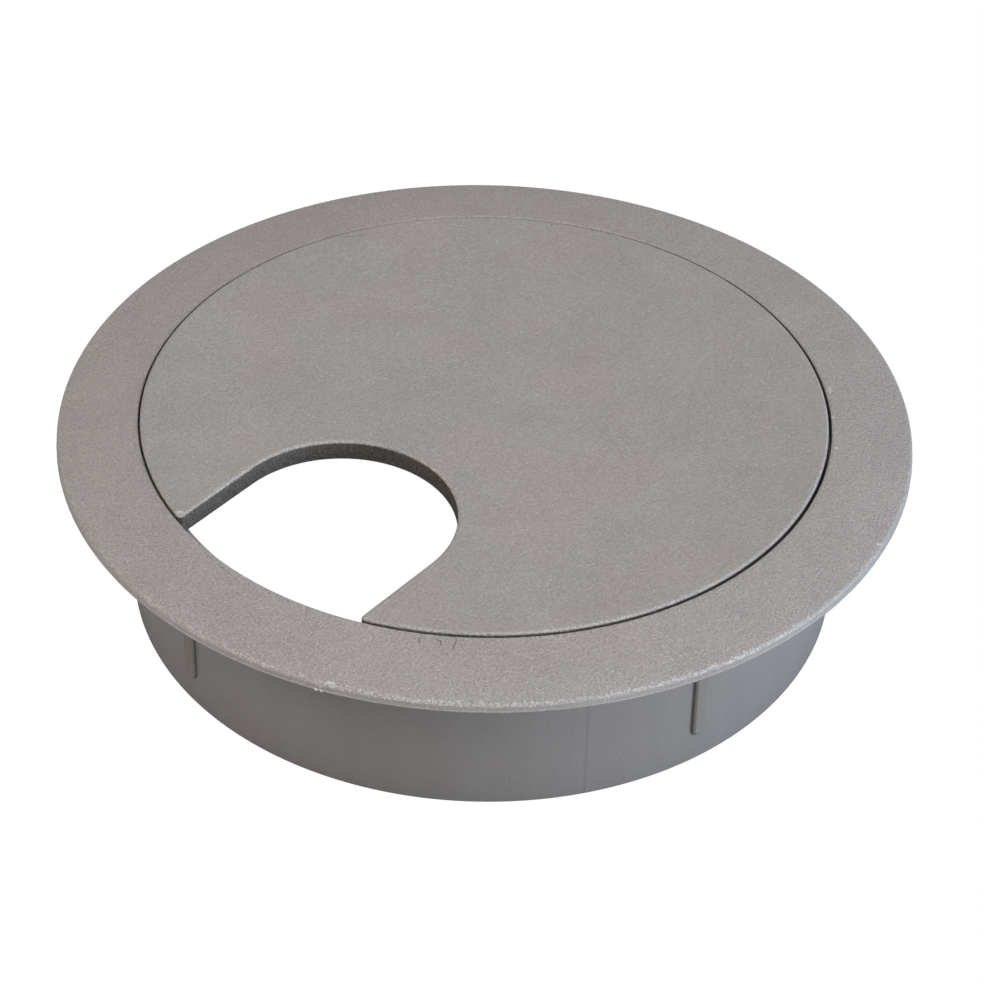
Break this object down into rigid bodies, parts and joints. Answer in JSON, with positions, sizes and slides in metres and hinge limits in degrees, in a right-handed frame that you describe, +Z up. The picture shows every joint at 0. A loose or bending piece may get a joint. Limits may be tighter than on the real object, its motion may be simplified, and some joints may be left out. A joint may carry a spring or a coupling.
{
  "type": "desk grommet",
  "caption": "Round flanged cable liner for a desk top, with a flat cap that lies loose in it, turns freely and has an open cable slot.",
  "frame": {"origin": "on the barrel's axis, in the plane of the desk top that the flange's underside rests on", "axes": "+Z up out of the desk along the barrel's axis, the cap's cable slot opens towards -Y, and +X is to its right seen from above"},
  "size_m": [0.095, 0.095, 0.0222],
  "materials": {
    "liner_plastic": "fine spark-eroded grain on the flange, smooth satin on the barrel",
    "cap_plastic": "fine spark-eroded grain"
  },
  "bodies": {
    "liner": {"liner": "liner_plastic"},
    "cap": {"cap": "cap_plastic"}
  },
  "joints": [
    {"name": "cap_turn", "type": "hinge", "parent": "liner", "child": "cap", "pos_m": [-0.00005, -0.00004, 0.00002], "axis": [0, 0, 1], "continuous": true}
  ]
}
